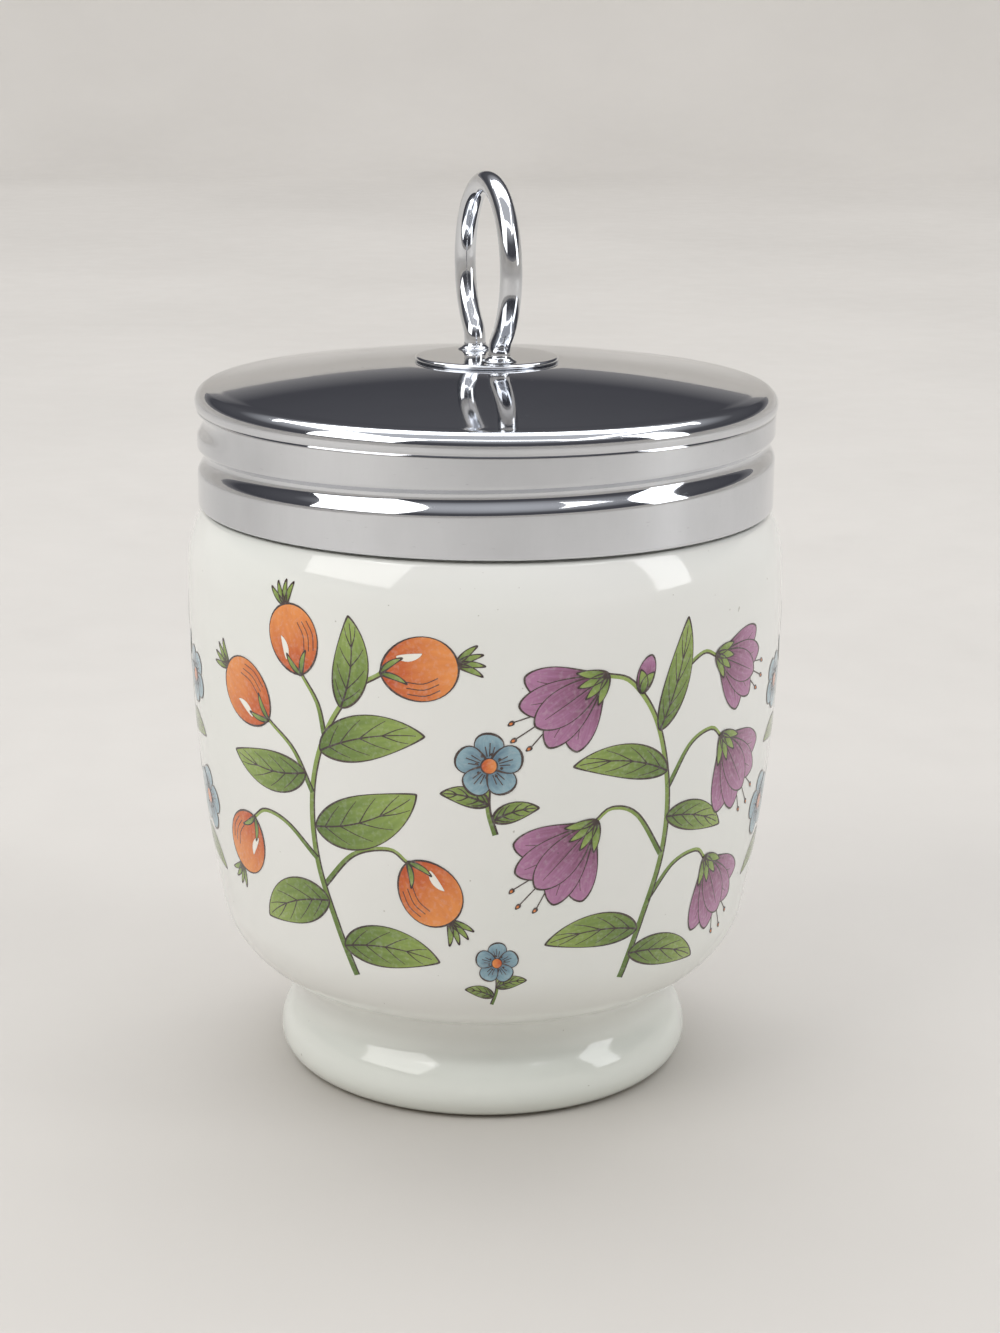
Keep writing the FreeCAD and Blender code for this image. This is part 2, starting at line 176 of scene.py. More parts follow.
def build_mesh(name, points, faces, uv=None):
    """A mesh object from an array of points in millimetres, quads and, if given, a UV for each point."""
    mesh = bpy.data.meshes.new(name)
    mesh.vertices.add(len(points))
    mesh.vertices.foreach_set("co", (np.asarray(points, np.float32) * MM).ravel())
    mesh.loops.add(faces.size)
    mesh.loops.foreach_set("vertex_index", faces.ravel().astype(np.int32))
    mesh.polygons.add(len(faces))
    mesh.polygons.foreach_set("loop_start", np.arange(0, faces.size, 4, dtype=np.int32))
    mesh.polygons.foreach_set("use_smooth", np.ones(len(faces), bool))
    if uv is not None:
        layer = mesh.uv_layers.new(name="UVMap")
        layer.data.foreach_set("uv", np.asarray(uv, np.float32)[faces.ravel()].ravel())
    mesh.update(calc_edges=True)
    mesh.validate()
    piece = bpy.data.objects.new(name, mesh)
    bpy.context.scene.collection.objects.link(piece)
    return piece


def close_up(piece):
    """Merge the doubled points of seams and poles and turn all faces outwards."""
    shape = bmesh.new()
    shape.from_mesh(piece.data)
    bmesh.ops.remove_doubles(shape, verts=shape.verts, dist=1e-7)
    bmesh.ops.dissolve_degenerate(shape, edges=shape.edges, dist=1e-8)
    bmesh.ops.recalc_face_normals(shape, faces=shape.faces)
    shape.to_mesh(piece.data)
    shape.free()
    piece.data.polygons.foreach_set("use_smooth", np.ones(len(piece.data.polygons), bool))
    return piece


def turned(name, radius, height, segments=192, centre=(0.0, 0.0)):
    """Revolve a profile about a vertical line: x = radius cos(angle), y = radius sin(angle), z = height.

    radius and height are arrays of one value a row, or of rows by segments where the form isn't round.
    """
    angle = np.arange(segments) * TURN / segments
    radius, height = (np.broadcast_to(np.atleast_2d(v.T).T, (len(v), segments)) for v in (radius, height))
    points = np.stack([centre[0] + radius * np.cos(angle), centre[1] + radius * np.sin(angle), height], -1)
    return build_mesh(name, points.reshape(-1, 3), grid_faces(len(radius), segments, wrap_columns=True))


def smooth_step(value):
    """0 below 0, 1 above 1 and an S-shaped 3v^2 - 2v^3 between."""
    value = np.clip(value, 0, 1)
    return value * value * (3 - 2 * value)


def helical(angle, height, offset, turns, above, below, crest, fade):
    """How far a thread has risen, 0 to 1, at each angle and height.

    Its middle climbs one pitch a turn from the thread's start. It is full within crest of the middle, falls to
    nothing at above and below it, and fades in and out over the angle fade at its two ends.
    """
    travel = (angle - THREAD["start_angle"]) % TURN
    form = np.zeros(np.broadcast(angle, height).shape)
    for lap in range(math.ceil(turns)):
        along = travel + TURN * lap
        middle = THREAD["start_height"] + offset + THREAD["pitch"] * along / TURN
        away = height - middle
        flank = np.where(away > 0, (above - away) / (above - crest), (below + away) / (below - crest))
        ends = smooth_step(along / fade) * smooth_step((TURN * turns - along) / fade)
        form = np.maximum(form, smooth_step(flank) * ends)
    return form


def side_radius(height):
    """Radius of the cup's outside at a height, read off the same samples as the cup's own mesh."""
    upper, lower = walk_outline(BOWL_OUTLINE[-2:], SAMPLE), walk_outline(CUP_OUTLINE[:4], SAMPLE)
    radii, heights = (np.concatenate([high, low]) for high, low in zip(upper, lower))
    return np.interp(height, heights[::-1], radii[::-1])


def cone_height(radius):
    """Height of the lid's top: level in the middle, then a straight slope to the rim."""
    slope = (CONE_TOP[1] - CONE_EDGE[1]) / (CONE_EDGE[0] - CONE_TOP[0])
    return CONE_TOP[1] - (np.maximum(radius, CONE_TOP[0]) - CONE_TOP[0]) * slope


# pieces
def make_cup():
    """Porcelain cup: the drawing's outline turned round, with the thread rib standing out of the neck."""
    segments = 240
    outer_r, outer_z = walk_outline(CUP_OUTLINE, SAMPLE)
    inner_r, inner_z = walk_outline(BOWL_OUTLINE, SAMPLE)
    neck_top, neck_foot = BOWL_OUTLINE[9][1], BOWL_OUTLINE[10][1]
    on_line = np.isclose(inner_r, NECK)
    before = np.flatnonzero(np.isclose(inner_z, neck_top) & on_line)[0]
    after = np.flatnonzero(np.isclose(inner_z, neck_foot) & on_line)[0]
    neck = np.linspace(neck_top, neck_foot, 64)
    inner_r = np.concatenate([inner_r[:before], np.full(neck.size, NECK), inner_r[after + 1:]])
    inner_z = np.concatenate([inner_z[:before], neck, inner_z[after + 1:]])
    radius = np.concatenate([outer_r, inner_r])[:, None]
    height = np.concatenate([outer_z, inner_z])[:, None]
    angle = np.arange(segments) * TURN / segments
    on_neck = np.isclose(radius, NECK) & (height >= neck_foot)
    radius = radius + RIB_RISE * helical(angle, height, **RIB) * on_neck
    return close_up(turned("cup_glaze", radius, height[:, 0], segments))


def make_lid():
    """Pressed lid: outer and inner skins of one sheet, with the screw groove pressed through both.

    The cone swells a little, by CONE_BULGE 4 q (1 - q) at a share q of its slope, so it mirrors the ring small.
    """
    segments = 320
    angle = np.arange(segments) * TURN / segments
    inner = LID - WALL
    edge = WALL / 2
    skirt = np.linspace(SKIRT_FOOT + edge, RIM_FOOT - RIM_STEP, 66)
    roll = np.linspace(0, math.pi / 2, 7)
    rim = np.linspace(*RIM_ARC, 16)
    rim_r, rim_z = CONE_EDGE[0] + RIM_ROUND * np.cos(rim), RIM_CENTRE + RIM_ROUND * np.sin(rim)
    cone_r = np.linspace(CONE_EDGE[0], 0.0, 48)[1:]
    share = np.clip((cone_r - CONE_TOP[0]) / (CONE_EDGE[0] - CONE_TOP[0]), 0, 1)
    cone_z = cone_height(cone_r) + CONE_BULGE * 4 * share * (1 - share)
    roll_z = SKIRT_FOOT + edge * (1 - np.cos(roll))
    outer_r = np.concatenate([inner + edge + edge * np.sin(roll), np.full(skirt.size, LID),
                              [LID - 0.09, LID - 0.11], rim_r, cone_r])
    outer_z = np.concatenate([roll_z, skirt, [RIM_FOOT + 0.02, RIM_FOOT + RIM_STEP], rim_z, cone_z])
    inner_r = np.concatenate([cone_r[::-1], rim_r[::-1] - WALL * np.cos(rim[::-1]), np.full(skirt.size, inner),
                              inner + edge - edge * np.sin(roll[::-1])])
    inner_z = np.concatenate([cone_z[::-1] - WALL, rim_z[::-1] - WALL * np.sin(rim[::-1]), skirt[::-1],
                              roll_z[::-1]])
    radius = np.concatenate([outer_r, inner_r])[:, None]
    height = np.concatenate([outer_z, inner_z])[:, None]
    on_skirt = (height > SKIRT_FOOT + 0.6) & (height < RIM_FOOT + 0.2) & (radius > inner - 0.05)
    radius = radius - GROOVE_SINK * helical(angle, height, **GROOVE) * on_skirt
    return close_up(turned("lid_skin", radius, height[:, 0], segments))


def make_plate():
    """Small plate on the cone: a disc with a rounded upper edge and a very slight dome."""
    flat = PLATE - PLATE_ROUND
    edge = np.linspace(0, math.pi / 2, 8)
    top_r = np.linspace(flat, 0.0, 14)[1:]
    radius = np.concatenate([[0.0, PLATE - 0.16], flat + PLATE_ROUND * np.cos(edge), top_r])
    dome = 0.52 + 0.08 * (1 - (top_r / flat) ** 2)
    height = CONE_TOP[1] + np.concatenate([[0.0, 0.0], 0.22 + 0.30 * np.sin(edge), dome])
    return close_up(turned("lid_plate", radius, height, 128))


def across_ring(points):
    """Turn points drawn in the ring's own plane (x along the ring) about the vertical to where it stands."""
    x, y, z = np.moveaxis(points, -1, 0)
    cos, sin = math.cos(RING_TURN), math.sin(RING_TURN)
    return np.stack([x * cos - y * sin, x * sin + y * cos, z], -1)


def make_finger_ring():
    """Round wire swept along the hoop: leg, small outward bend, large circle, bend and leg.

    The wire's section is a circle in the plane of the path's normal and the ring plane's own normal.
    """
    side = LEG + LEG_BEND
    drop = math.sqrt((HOOP + LEG_BEND) ** 2 - side ** 2)
    bend_z = HOOP_HEIGHT - drop
    lean = math.atan2(side, drop)
    leg_z = np.linspace(WASHER_FOOT, bend_z, 10)[:-1]
    small = np.linspace(0, math.pi / 2 - lean, 14)[:-1]
    large = np.linspace(-math.pi / 2 - lean, -math.pi / 2 + lean - TURN, 181)
    half_x = np.concatenate([np.full(leg_z.size, -LEG), -LEG - LEG_BEND + LEG_BEND * np.cos(small)])
    half_z = np.concatenate([leg_z, bend_z + LEG_BEND * np.sin(small)])
    x = np.concatenate([half_x, HOOP * np.cos(large), -half_x[::-1]])
    z = np.concatenate([half_z, HOOP_HEIGHT + HOOP * np.sin(large), half_z[::-1]])
    run = np.stack([np.gradient(x), np.gradient(z)], -1)
    run /= np.linalg.norm(run, axis=1)[:, None]
    around = np.arange(40) * TURN / 40
    out_x = x[:, None] - WIRE * run[:, 1][:, None] * np.cos(around)
    out_z = z[:, None] + WIRE * run[:, 0][:, None] * np.cos(around)
    out_y = np.broadcast_to(WIRE * np.sin(around), out_x.shape)
    points = across_ring(np.stack([out_x, out_y, out_z], -1))
    ends = [np.broadcast_to(points[end].mean(axis=0), points[:1].shape) for end in (0, -1)]
    points = np.concatenate([ends[0], points, ends[1]])
    faces = grid_faces(len(points), around.size, wrap_columns=True)
    return close_up(build_mesh("ring_wire", points.reshape(-1, 3), faces))


def join(name, pieces):
    """One object from several meshes."""
    with bpy.context.temp_override(active_object=pieces[0], selected_editable_objects=pieces):
        bpy.ops.object.join()
    pieces[0].name = name
    return pieces[0]


def make_pair(name, radius, height, segments=64):
    """The same turned form round each leg of the ring."""
    both = []
    for sign in (1, -1):
        spot = across_ring(np.array([LEG * sign, 0.0, 0.0]))
        both.append(close_up(turned(name, radius, height, segments, spot[:2])))
    return join(name, both)


def make_rivet_heads():
    """Domed heads at the feet of the legs, under the washer."""
    dome = np.linspace(0, math.pi / 2, 10)
    radius = np.concatenate([RIVET * np.sin(dome), [0.0]])
    height = np.concatenate([WASHER_FOOT - RIVET_HEIGHT * np.cos(dome), [WASHER_FOOT]])
    return make_pair("rivet_domes", radius, height)


def make_collars():
    """Collars like a bead of solder round each leg: a hollow curve from the plate up to the wire."""
    sweep = np.linspace(0, 1, 14)
    skin, foot = 0.04, 0.06
    hollow = WIRE + skin + (COLLAR_FOOT - WIRE - skin) * (1 - sweep) ** 1.8
    radius = np.concatenate([[WIRE, COLLAR_FOOT], hollow, [WIRE]])
    rise = foot + (COLLAR_HEIGHT - foot) * sweep ** 1.4
    height = PLATE_TOP + np.concatenate([[0.0, 0.0], rise, [COLLAR_HEIGHT]])
    return make_pair("solder_collars", np.append(radius, radius[0]), np.append(height, height[0]))


def make_washer():
    """Flat backing washer with softened edges."""
    edge = np.linspace(-math.pi / 2, math.pi / 2, 12)
    half = WASHER_THICKNESS / 2
    radius = np.concatenate([[0.0], WASHER - 0.25 + 0.25 * np.cos(edge), [0.0]])
    height = WASHER_FOOT + np.concatenate([[0.0], half + half * np.sin(edge), [WASHER_THICKNESS]])
    return close_up(turned("washer_disc", radius, height, 128))


def make_inner_disc():
    """Loose pressed disc: flat middle with two stiffening rings, conical rim and a rounded edge."""
    rounding = 0.15
    radius = np.linspace(0, DISC_FLAT + DISC_RIM - rounding, 128)
    top = cone_height(np.maximum(radius, DISC_FLAT)) - DISC_DROP
    top = top - DISC_GAP * smooth_step((radius - DISC_FLAT) / DISC_RIM)
    for middle in (11.0, 19.0):
        top = top - 0.18 * np.exp(-((radius - middle) / 0.8) ** 2)
    edge = np.linspace(math.pi / 2, -math.pi / 2, 8)[1:-1]
    half = DISC_WALL / 2
    radius_all = np.concatenate([radius, radius[-1] + rounding * np.cos(edge), radius[::-1]])
    height_all = np.concatenate([top, top[-1] - half + half * np.sin(edge), top[::-1] - DISC_WALL])
    return close_up(turned("pressed_disc", radius_all, height_all))


def make_seal():
    """Sealing ring: a flat band with rounded upper edges and three fine moulded ribs on top."""
    high = LIP + SEAL_THICKNESS
    left, right = SEAL_INNER + SEAL_ROUND, SEAL_OUTER - SEAL_ROUND
    top_r = np.linspace(left, right, 40)
    ribs = 0.08 * (np.cos(TURN * (top_r - left) / 0.6) - 1) / 2
    corner = np.linspace(0, math.pi / 2, 8)
    out, up = SEAL_ROUND * np.cos(corner), SEAL_ROUND * np.sin(corner)
    shoulder = high - SEAL_ROUND
    radius = np.concatenate([[SEAL_INNER, SEAL_INNER], (left - out)[1:], top_r[1:-1], right + up,
                             [SEAL_OUTER, SEAL_INNER]])
    height = np.concatenate([[LIP, shoulder], (shoulder + up)[1:], (high + ribs)[1:-1], shoulder + out,
                             [LIP, LIP]])
    return close_up(turned("seal_band", radius, height))


# printed design, drawn flat in millimetres: u along the side towards +X, v up
PRINT_RADIUS = 33.5
FIRST_LIFT = 0.012
LEVEL = 0.005
PEN = 0.24
FLOWER_LEVEL = 5


def bearing(degrees):
    """Unit vector in a direction of the drawing, anticlockwise from +u."""
    return np.array([math.cos(math.radians(degrees)), math.sin(math.radians(degrees))])


def flowing(points, step=0.5):
    """A smooth line through points: a Catmull-Rom curve, cut about every step millimetres."""
    knots = np.array(points, float)
    knots = np.concatenate([2 * knots[:1] - knots[1:2], knots, 2 * knots[-1:] - knots[-2:-1]])
    runs = []
    for a, b, c, d in zip(knots[:-3], knots[1:-2], knots[2:-1], knots[3:]):
        count = max(3, int(np.hypot(*(c - b)) / step))
        t = (np.arange(count) / count)[:, None]
        runs.append(b + (c - a) * t / 2 + (2 * a - 5 * b + 4 * c - d) * t ** 2 / 2
                    + (3 * b - a - 3 * c + d) * t ** 3 / 2)
    return np.concatenate(runs + [knots[-2:-1]])


class Drawing:
    """The design's grids of points, gathered by colour. A motif is drawn about its own place."""

    def __init__(self):
        self.grids = {}
        self.place, self.flip, self.size = (0.0, 0.0), 1, 1.0

    def lay(self, colour, grid, level, along, across):
        """Lay a drawn grid on the cup: azimuth = u / PRINT_RADIUS, radius = side + lift of its level."""
        uv = np.stack(np.broadcast_arrays(along[:, None], across), -1)
        if self.flip < 0:
            grid, uv = grid[:, ::-1], uv[:, ::-1]
        azimuth = (self.place[0] + self.flip * self.size * grid[..., 0]) / PRINT_RADIUS
        height = self.place[1] + self.size * grid[..., 1]
        radius = side_radius(height) + FIRST_LIFT + LEVEL * level
        points = np.stack([radius * np.sin(azimuth), -radius * np.cos(azimuth), height], -1)
        self.grids.setdefault(colour, []).append((points, uv))

    def stroke(self, line, width, level, colour="ink"):
        """A drawn line: its two edges lie half a width to the left and the right of its points."""
        run = np.gradient(line, axis=0)
        run = run / np.maximum(np.linalg.norm(run, axis=1), 1e-6)[:, None]
        right = np.stack([run[:, 1], -run[:, 0]], -1)
        half = np.broadcast_to(width, len(line))[:, None] / 2
        grid = np.stack([line - right * half, line + right * half], 1)
        self.lay(colour, grid, level, np.linspace(0, 1, len(line)), np.array([0.0, 1.0]))

    def blade(self, colour, foot, tip, width, level, bow=0.0, belly=0.45, blunt=0.8, edge=PEN):
        """A leaf, petal or fruit about a bowed spine, with an inked edge that swells and thins.

        Half width = width / 2 (4 q (1 - q))^blunt with q = s^p, and p puts the widest place at s = belly.
        """
        foot, tip = np.array(foot, float), np.array(tip, float)
        way = tip - foot
        knee = foot + way / 2 + bow * np.array([-way[1], way[0]])
        rows = max(14, int(np.hypot(*way) / 0.42))
        columns = max(4, 2 * int(width / 1.1) + 1)
        s = (1 - np.cos(np.linspace(0, math.pi, rows))) / 2
        t = np.linspace(-1, 1, columns)
        near, far = (1 - s)[:, None], s[:, None]
        spine = near ** 2 * foot + 2 * near * far * knee + far ** 2 * tip
        run = near * (knee - foot) + far * (tip - knee)
        run = run / np.linalg.norm(run, axis=1)[:, None]
        right = np.stack([run[:, 1], -run[:, 0]], -1)
        q = s ** (math.log(0.5) / math.log(belly))
        half = width / 2 * np.clip(4 * q * (1 - q), 0, 1) ** blunt
        grid = spine[:, None] + right[:, None] * (half[:, None] * t)[..., None]
        self.lay(colour, grid, level, s, (t + 1) / 2)
        rim = np.concatenate([grid[:, 0], grid[::-1, -1][1:]])
        swell = 0.72 + 0.28 * np.sin(np.linspace(0, 2.5 * TURN, len(rim)))
        self.stroke(rim, edge * swell, level + 0.5)
        return spine, right, half

    def stem(self, points, width=0.62):
        """A tapering green stem with an ink line on its shaded side."""
        line = flowing(points)
        taper = np.linspace(width, 0.6 * width, len(line))
        self.stroke(line, taper, 0, "leaves")
        run = np.gradient(line, axis=0)
        run = run / np.linalg.norm(run, axis=1)[:, None]
        self.stroke(line + np.stack([run[:, 1], -run[:, 0]], -1) * taper[:, None] / 2, 0.2, 0.5)

    def leaf(self, foot, tip, width, level, bow=0.1):
        """A pointed leaf with a midrib and curved side veins."""
        spine, right, half = self.blade("leaves", foot, tip, width, level, bow, 0.42, 0.85)
        rows = len(spine)
        reach = int(0.86 * rows)
        self.stroke(spine[:reach], np.linspace(0.28, 0.1, reach), level + 0.5)
        for share in (0.2, 0.33, 0.46, 0.59):
            start, end = int(share * rows), int((share + 0.16) * rows)
            for side in (-1, 1):
                goal = spine[end] + right[end] * half[end] * 0.8 * side
                bend = spine[start] + (goal - spine[start]) * 0.55 + right[start] * side * 0.12
                vein = flowing([spine[start], bend, goal])
                self.stroke(vein, np.linspace(0.16, 0.07, len(vein)), level + 0.5)

    def hip(self, foot, turn, length):
        """A ripe hip: a full oval with a pale gleam, hatched shade and a crown of dry tips at its end."""
        way = bearing(turn)
        left = np.array([-way[1], way[0]])
        foot = np.array(foot, float)
        tip = foot + way * length
        for lean in (-34, -12, 12, 34):
            start = tip - way * 0.25
            crown = start + bearing(turn + lean) * 0.36 * length
            self.blade("leaves", start, crown, 0.08 * length, FLOWER_LEVEL - 1, 0.1)
        self.blade("fruit", foot, tip, 0.84 * length, FLOWER_LEVEL, 0, 0.54, 0.5)
        gleam = foot + way * 0.24 * length + left * 0.2 * length
        self.blade("pale", gleam, gleam + way * 0.34 * length, 0.1 * length, FLOWER_LEVEL + 1, -0.2, edge=0.02)
        for share in (0.16, 0.24, 0.32):
            hatch = [foot + way * length * along - left * length * (share + bulge)
                     for along, bulge in ((0.3, -0.02), (0.52, 0.03), (0.72, -0.02))]
            self.stroke(flowing(hatch), 0.11, FLOWER_LEVEL + 0.5)
        for lean in (-28, 28):
            self.blade("leaves", foot - way * 0.1, foot + bearing(turn + lean) * 0.36 * length, 0.62,
                       FLOWER_LEVEL + 1, 0.15)

    def bell(self, foot, turn, length):
        """A nodding bell: back and side petals, then a front one, with a green calyx and three stamens."""
        foot = np.array(foot, float)
        for lean in (-9, 0, 9):
            end = foot + bearing(turn + lean) * length * (1.2 - abs(lean) * 0.008)
            self.stroke(flowing([foot + bearing(turn) * 0.5 * length, end]), 0.14, FLOWER_LEVEL - 1)
            self.blade("fruit", end - bearing(turn) * 0.1, end + bearing(turn) * 0.55, 0.42, FLOWER_LEVEL - 0.5)
        petals = ((36, 0.9, -0.2), (-36, 0.9, 0.2), (17, 1.0, -0.12), (-17, 1.0, 0.12), (0, 0.94, 0.0))
        for layer, (lean, reach, bow) in enumerate(petals):
            tip = foot + bearing(turn + lean) * reach * length
            level = FLOWER_LEVEL + layer
            spine, _, _ = self.blade("bells", foot, tip, 0.4 * length, level, bow, 0.6, 0.62)
            seen = spine[2:int(0.8 * len(spine))]
            self.stroke(seen, np.linspace(0.2, 0.06, len(seen)), level + 0.5)
        for lean in (-42, -14, 14, 42):
            end = foot + bearing(turn + lean) * 0.34 * length
            self.blade("leaves", foot - bearing(turn) * 0.3, end, 0.95, FLOWER_LEVEL + 6, 0.05)

    def blossom(self, centre, length, turn=90.0):
        """A small open flower: five broad petals with drawn lines, a dotted eye and a ring of stamens."""
        centre = np.array(centre, float)
        for petal in range(5):
            way = turn + 72 * petal
            level = FLOWER_LEVEL + petal
            tip = centre + bearing(way) * length
            self.blade("blossoms", centre, tip, 0.86 * length, level, 0.06, 0.64, 0.5)
            for lean in (-13, 0, 13):
                reaches = (0.3, 0.5, 0.72 - abs(lean) * 0.008)
                line = [centre + bearing(way + lean) * length * share for share in reaches]
                self.stroke(flowing(line), 0.11, level + 0.5)
        self.blade("fruit", centre - (0.24 * length, 0), centre + (0.24 * length, 0), 0.48 * length,
                   FLOWER_LEVEL + 6, 0, 0.5, 0.5, 0.16)
        for dot in range(8):
            spot = centre + bearing(turn + 36 + 45 * dot) * 0.37 * length
            self.blade("ink", spot - (0.13, 0), spot + (0.13, 0), 0.26, FLOWER_LEVEL + 6, 0, 0.5, 0.5, 0.03)

    def bud(self, foot, turn, length, colour="blossoms"):
        """A closed bud in a green cup."""
        foot = np.array(foot, float)
        tip = foot + bearing(turn) * length
        self.blade(colour, foot, tip, 0.5 * length, FLOWER_LEVEL, 0.04, 0.5, 0.6)
        for lean in (-20, 20):
            self.blade("leaves", foot, foot + bearing(turn + lean) * 0.62 * length, 0.26 * length,
                       FLOWER_LEVEL + 1, -0.01 * lean)


def draw_hips(pen):
    """Spray of five hips on arching stems among broad leaves."""
    pen.stem([(3, -20), (1, -14), (-1, -6), (-1, 2), (1, 9), (4.6, 14.6), (8, 17)], 0.8)
    pen.stem([(-1, -6), (-5, -2.6), (-8.6, -1.8), (-11, -3.2)])
    pen.stem([(-1, 2), (-3.4, 6.6), (-7, 9.4)])
    pen.stem([(1, 9), (0.2, 12.6), (-1.8, 15.6)])
    pen.stem([(-0.2, -9), (4, -4.6), (8.4, -3.4), (10.6, -4.8)])
    leaves = (((-0.8, -2), (11.8, 3.4), 6.2, -0.16), ((0.4, 7.2), (12.8, 10.2), 5.2, 0.14),
              ((0.2, -11), (-10.6, -15.4), 5.6, -0.16), ((1.8, -16.4), (14, -17), 5.2, 0.16),
              ((-1.8, 4.2), (-13.6, 4.4), 4.8, 0.16), ((3.2, 12.6), (4.2, 23), 4.2, -0.16))
    for index, (foot, tip, width, bow) in enumerate(leaves):
        pen.leaf(foot, tip, width, 1 + index % 3, bow)
    for foot, turn, length in (((-11.0, -3.2), -122, 8.4), ((-7.0, 9.4), 146, 8.8), ((-1.8, 15.6), 106, 8.0),
                               ((8.0, 17.0), 10, 8.6), ((10.6, -4.8), -56, 8.6)):
        pen.hip(foot, turn, length)


def draw_bells(pen):
    """Spray of nodding bells with slender leaves."""
    pen.stem([(-3, -20), (-1, -13), (1, -5), (1, 3), (-1, 11), (-4.4, 16), (-7.6, 17.2)], 0.8)
    pen.stem([(1, 3), (4, 7.6), (7.4, 8.8), (9.4, 7.4)])
    pen.stem([(0.8, -5), (-3, 0.4), (-6.2, 1.6), (-8.2, 0.2)])
    pen.stem([(-1, 11), (2, 15.8), (5.4, 18), (7.8, 17.2)])
    pen.stem([(-0.4, -10.5), (3, -6.6), (6.8, -5.8), (8.8, -7.4)])
    leaves = (((-1.4, -14), (-13.4, -14.4), 4.2, -0.16), ((-2.2, -17), (9.4, -20), 4.0, 0.14),
              ((1.2, -0.6), (10.8, -3.6), 3.6, 0.14), ((0.8, 5), (-11, 7), 4.0, -0.18),
              ((-0.6, 10), (3, 22.4), 3.4, -0.1))
    for index, (foot, tip, width, bow) in enumerate(leaves):
        pen.leaf(foot, tip, width, 1 + index % 3, bow)
    for foot, turn, length in (((-7.6, 17.2), -146, 10.0), ((9.4, 7.4), -52, 10.4), ((-8.2, 0.2), -132, 10.6),
                               ((7.8, 17.2), -24, 9.2), ((8.8, -7.4), -58, 10.0)):
        pen.bell(foot, turn, length)
    pen.bud((-3.2, 14.6), 74, 4.4, "bells")


def draw_posy(pen):
    """Small posy of open blossoms and buds."""
    pen.stem([(1, -15), (-0.6, -8), (0.6, 0), (-0.6, 8), (1.6, 14)], 0.66)
    pen.stem([(0.6, 0), (3.4, 3), (6, 3.4)], 0.5)
    pen.stem([(-0.4, -7), (-3.4, -5), (-5.4, -4.6)], 0.5)
    pen.stem([(-0.4, 7), (-3, 9.4), (-4.4, 9.6)], 0.5)
    pen.stem([(0, -10.6), (3.6, -9), (5.4, -9.2)], 0.5)
    leaves = (((-0.4, -9.6), (-8.6, -12.4), 2.8, -0.16), ((0.3, -2.6), (7.6, -3.6), 2.6, 0.18),
              ((0.2, 3.4), (-7.2, 3.2), 2.6, -0.2), ((0, 9), (6.4, 10.4), 2.4, 0.16))
    for index, (foot, tip, width, bow) in enumerate(leaves):
        pen.leaf(foot, tip, width, 1 + index % 3, bow)
    for centre, length, turn in (((6.4, 3.4), 3.6, 80), ((-5.6, -4.4), 3.8, 100), ((-4.6, 9.8), 3.3, 60),
                                 ((5.8, -9.4), 3.2, 95)):
        pen.blossom(centre, length, turn)
    pen.bud((1.6, 14), 68, 4.2)
    pen.bud((0.2, 11), 118, 3.6)


def draw_sprig(pen):
    """One small blossom between two leaves, to fill the gaps between the sprays."""
    pen.stem([(0.6, -5.6), (-0.1, -3), (0, 0)], 0.5)
    pen.leaf((0, -2.6), (-4.4, -1.6), 1.9, 1, -0.16)
    pen.leaf((0.4, -4.2), (4.6, -3.0), 1.9, 2, 0.16)
    pen.blossom((0, 1.2), 3.1, 88)


MOTIFS = [
    (draw_hips, -18.5, 38.2, 1, 0.96), (draw_bells, 20.0, 37.8, 1, 0.96), (draw_posy, 48.0, 38.0, 1, 1.0),
    (draw_hips, 77.0, 38.4, -1, 0.94), (draw_bells, 114.5, 37.8, -1, 0.96), (draw_posy, -47.5, 38.4, -1, 1.0),
    (draw_posy, 146.0, 38.0, 1, 0.9), (draw_sprig, 0.5, 43.6, 1, 1.15), (draw_sprig, 1.6, 21.0, -1, 0.8),
    (draw_sprig, 94.2, 46.0, -1, 1.0), (draw_sprig, 95.6, 21.6, 1, 0.8),
]


def lay_print():
    """Draw every motif and give each colour's name and its one mesh."""
    pen = Drawing()
    for draw, place, height, flip, size in MOTIFS:
        pen.place, pen.flip, pen.size = (place, height), flip, size
        draw(pen)
    for colour, grids in pen.grids.items():
        faces, count = [], 0
        for points, _ in grids:
            faces.append(grid_faces(*points.shape[:2]) + count)
            count += points.shape[0] * points.shape[1]
        points = np.concatenate([grid.reshape(-1, 3) for grid, _ in grids])
        uv = np.concatenate([grid.reshape(-1, 2) for _, grid in grids])
        yield colour, build_mesh("print_" + colour, points, np.concatenate(faces), uv)


# finishes
def new_finish(name):
    """A material with its node tree, principled shader and a function that adds linked nodes."""
    finish = bpy.data.materials.new(name)
    finish.use_nodes = True
    tree = finish.node_tree
    shader = tree.nodes["Principled BSDF"]

    def add(kind, values=None, **settings):
        node = tree.nodes.new(kind)
        for key, value in settings.items():
            setattr(node, key, value)
        for socket, value in (values or {}).items():
            if isinstance(value, bpy.types.NodeSocket):
                tree.links.new(value, node.inputs[socket])
            else:
                node.inputs[socket].default_value = value
        return node

    def feed(socket, source):
        tree.links.new(source, shader.inputs[socket])

    return finish, shader, add, feed


def rgb(red, green, blue):
    """A linear colour from display values of 0 to 255."""
    values = np.array([red, green, blue]) / 255
    linear = np.where(values <= 0.04045, values / 12.92, ((values + 0.055) / 1.055) ** 2.4)
    return (*linear.tolist(), 1.0)


def blend_colours(add, share, first, second):
    """Mix two colours (or sockets) by a factor socket and give the result's socket."""
    mix = add("ShaderNodeMix", {0: share, 6: first, 7: second}, data_type="RGBA")
    return mix.outputs[2]


def ranged(add, value, low, high, to_low, to_high):
    """Map a value from one range to another, held at the ends."""
    node = add("ShaderNodeMapRange", {0: value, 1: low, 2: high, 3: to_low, 4: to_high})
    return node.outputs[0]


